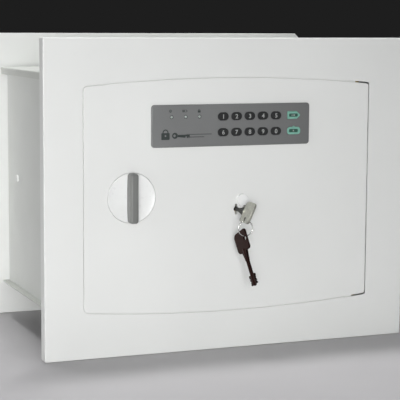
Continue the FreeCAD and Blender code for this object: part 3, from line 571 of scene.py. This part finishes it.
# a larger padlock and key, with two plain rules beside them
SYMBOLS_AT, RULES_AT = (0.0165, -0.0093), (0.0575, -0.0113)   # from the panel's left end and its middle
big_lock = [round_rect(0, -2.2, 5.0, 3.9, 0.9), circle(0, -1.6, 1.05), shackle(0, 2.2, 3.6, 1.25, 0.6)]
key_mark = [circle(0, 0, 3.5), circle(-0.6, 0, 1.5),
            [(3.3, 1.0), (18.0, 1.0), (18.0, -3.2), (16.2, -3.2), (16.2, -1.0), (14.6, -1.0), (14.6, -2.6),
             (12.8, -2.6), (12.8, -1.0), (3.3, -1.0)]]
flat_mark("panel_symbols", big_lock + moved(key_mark, 11.5, -1.6), face, "ink_dark", "door",
          (panel_lo.x + SYMBOLS_AT[0], panel_middle + SYMBOLS_AT[1]))
flat_mark("panel_rules", [round_rect(0, 1.5, 15.5, 0.55, 0.3), round_rect(-4.5, -1.5, 11.0, 0.55, 0.3)],
          face, "ink_mid", "door", (panel_lo.x + RULES_AT[0], panel_middle + RULES_AT[1]))

# dark label with a light sign on each function key
LABEL_LEFT, CLEAR_DOWN = 0.0006, 0.0006   # from the key's middle
SIGN_BACK = 0.00004                       # the sign's face lies this far behind the label's
ARROW = [(-2.6, 0.35), (0.6, 0.35), (0.6, 1.05), (2.4, 0.0), (0.6, -1.05), (0.6, -0.35), (-2.6, -0.35)]
for node, sign, down in (("enter_key", ARROW, 0.0), ("clear_key", cross(1.1, 0.35), CLEAR_DOWN)):
    lo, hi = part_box(node)
    at = ((lo.x + hi.x) / 2 - LABEL_LEFT, (lo.z + hi.z) / 2 - down)
    flat_mark(node + "_label", [round_rect(0, 0, 5.6, 1.9, 1.1), sign], lo.y, "ink_green", node, at)
    flat_mark(node + "_sign", [sign], lo.y + SIGN_BACK, "ink_light", node, at)


# ---- felt mat on the floor of the safe ---------------------------------------------------------------
MAT_CORNER = 0.006                        # radius of the corners, and width of the finer edge
EDGE_ROWS, MAT_FACE = 3, 0.006            # rows of faces in that edge, and the size of the others
EDGE_HEIGHT, MIDDLE_HEIGHT = 0.72, 0.94   # of the CAD mat's thickness
WAVINESS = 0.2


def ticks(half):
    """Grid lines across the mat from -half to half, closer together at its edges."""
    flat = half - MAT_CORNER
    n = round(2 * flat / MAT_FACE)
    inner = [-flat + 2 * flat * i / n for i in range(n + 1)]
    edge = [flat + MAT_CORNER * i / EDGE_ROWS for i in range(1, EDGE_ROWS + 1)]
    return [-v for v in edge[::-1]] + inner + edge


def rounded_point(x, y, half):
    """A point of the grid, where each square corner is mapped onto a quarter disc."""
    u, v = ((abs(c) - h + MAT_CORNER) / MAT_CORNER for c, h in zip((x, y), half))
    if u <= 0 or v <= 0:
        return x, y
    k = max(u, v) / math.hypot(u, v)
    return (math.copysign(half[0] - MAT_CORNER + MAT_CORNER * u * k, x),
            math.copysign(half[1] - MAT_CORNER + MAT_CORNER * v * k, y))


def felt_height(x, y, at_edge):
    """Height of the upper side, as a share of the thickness: a soft cut edge and two slight waves."""
    wave = 0.16 * math.sin(31 * x + 9 * y) + 0.12 * math.sin(47 * y - 20 * x + 1.0)
    return (EDGE_HEIGHT if at_edge else MIDDLE_HEIGHT) + WAVINESS * wave


def felt_sheet():
    """Cut felt with rounded corners and a soft cut edge, not quite flat, in the space of the CAD mat."""
    lo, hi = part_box("floor_mat")
    half = ((hi.x - lo.x) / 2, (hi.y - lo.y) / 2)
    mid = ((hi.x + lo.x) / 2, (hi.y + lo.y) / 2)
    thick = hi.z - lo.z
    xs, ys = ticks(half[0]), ticks(half[1])
    nx, ny = len(xs) - 1, len(ys) - 1
    bm = bmesh.new()
    layers = []
    for top in (True, False):
        rows = []
        for i, x in enumerate(xs):
            row = []
            for j, y in enumerate(ys):
                px, py = rounded_point(x, y, half)
                up = thick * felt_height(px, py, min(i, j, nx - i, ny - j) == 0) if top else 0.0
                row.append(bm.verts.new((mid[0] + px, mid[1] + py, lo.z + up)))
            rows.append(row)
        layers.append(rows)
        for i in range(nx):
            for j in range(ny):
                quad = (rows[i][j], rows[i + 1][j], rows[i + 1][j + 1], rows[i][j + 1])
                bm.faces.new(quad if top else quad[::-1])
    loop = ([(i, 0) for i in range(nx)] + [(nx, j) for j in range(ny)]
            + [(i, ny) for i in range(nx, 0, -1)] + [(0, j) for j in range(ny, 0, -1)])
    for (a, b), (c, d) in zip(loop, loop[1:] + loop[:1]):
        bm.faces.new((layers[1][a][b], layers[1][c][d], layers[0][c][d], layers[0][a][b]))
    sheet = new_piece("felt_mat", bm, "felt", "housing")
    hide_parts("floor_mat")


felt_sheet()


# ---- floor, light and camera -------------------------------------------------------------------------
FLOOR_HALF, FLOOR_GAP = 7.0, 0.0002       # half its width, and how far it lies below the safe
floor_bm = bmesh.new()
bmesh.ops.create_grid(floor_bm, x_segments=2, y_segments=2, size=FLOOR_HALF)
floor_mesh = bpy.data.meshes.new("floor")
floor_bm.to_mesh(floor_mesh)
floor_bm.free()
floor = bpy.data.objects.new("floor", floor_mesh)
floor.location.z = cad_box[0].z - FLOOR_GAP
bpy.context.scene.collection.objects.link(floor)
paint = Graph("pale_floor")
paint.color(paint.mix(paint.remap(paint.noise(3.0), 0.3, 0.7, 0, 1), (0.475, 0.465, 0.475),
                      (0.495, 0.485, 0.495)))
paint.rough(paint.remap(paint.noise(9.0), 0.3, 0.7, 0.5, 0.6))
floor_mesh.materials.append(paint.mat)

WORLD_LOW, WORLD_HIGH = (0.05, 0.05, 0.05, 1), (0.9, 0.92, 0.95, 1)   # below the horizon and overhead
WORLD_STRENGTH = 0.26
world = bpy.data.worlds.new("studio")
bpy.context.scene.world = world
world.use_nodes = True
sky = world.node_tree
coord = sky.nodes.new("ShaderNodeTexCoord")
split = sky.nodes.new("ShaderNodeSeparateXYZ")
ramp = sky.nodes.new("ShaderNodeValToRGB")
sky.links.new(coord.outputs["Generated"], split.inputs[0])
sky.links.new(split.outputs["Z"], ramp.inputs["Fac"])
ramp.color_ramp.elements[0].position = 0.05
ramp.color_ramp.elements[0].color = WORLD_LOW
ramp.color_ramp.elements[1].position = 0.5
ramp.color_ramp.elements[1].color = WORLD_HIGH
sky.links.new(ramp.outputs["Color"], sky.nodes["Background"].inputs["Color"])
sky.nodes["Background"].inputs["Strength"].default_value = WORLD_STRENGTH


def soft_light(name, at, aim, size, power, color=(1, 1, 1), spread=180):
    """A rectangular lamp in metres and watts; spread is the angle of its beam in degrees."""
    data = bpy.data.lights.new(name, "AREA")
    data.shape = "RECTANGLE"
    data.size, data.size_y = size
    data.energy = power
    data.color = color
    data.spread = math.radians(spread)
    ob = bpy.data.objects.new(name, data)
    ob.location = at
    ob.rotation_mode = "QUATERNION"
    ob.rotation_quaternion = (Vector(aim) - Vector(at)).to_track_quat("-Z", "Y")
    bpy.context.scene.collection.objects.link(ob)


middle = (0.0, 0.0, 0.18)                 # of the safe
soft_light("key_light", (-1.0, -2.5, 0.38), (-0.27, -0.1, 0.13), (1.2, 0.9), 4.1, (1.0, 1.0, 0.995), 45)
soft_light("front_fill", (0.6, -3.0, 0.7), middle, (2.4, 1.2), 2.5, (1.0, 1.0, 0.98))
soft_light("left_fill", (-3.0, -1.0, 0.5), middle, (1.6, 1.0), 15.0, (1.0, 1.0, 0.98))
soft_light("back_fill", (1.6, 2.8, 1.8), middle, (2.0, 1.6), 8.0)
soft_light("top_light", (-0.1, 0.3, 2.2), (0, 0, 0), (0.7, 0.3), 31.0)

YAW, PITCH, ROLL = math.radians(21.957), math.radians(7.107), math.radians(-0.355)
CAMERA_AT = (-656.8, -1534.2, 382.7)
FOCAL_IN_WIDTHS = 3.6213                  # focal length over the picture's width
SENSOR = 36.0
cam_data = bpy.data.cameras.new("camera")
cam_data.sensor_width = SENSOR
cam_data.lens = FOCAL_IN_WIDTHS * SENSOR
cam_data.clip_end = 100.0
cam = bpy.data.objects.new("camera", cam_data)
bpy.context.scene.collection.objects.link(cam)
forward = Vector((math.sin(YAW) * math.cos(PITCH), math.cos(YAW) * math.cos(PITCH), -math.sin(PITCH)))
right = Vector((math.cos(YAW), -math.sin(YAW), 0))
down = forward.cross(right)
image_x = math.cos(ROLL) * right + math.sin(ROLL) * down
image_y = forward.cross(image_x)
turn = Matrix((image_x, -image_y, -forward)).transposed()
cam.matrix_world = Matrix.Translation(place(*CAMERA_AT)) @ turn.to_4x4()
bpy.context.scene.camera = cam
bpy.context.scene.view_settings.view_transform = "Standard"

bpy.context.view_layer.update()
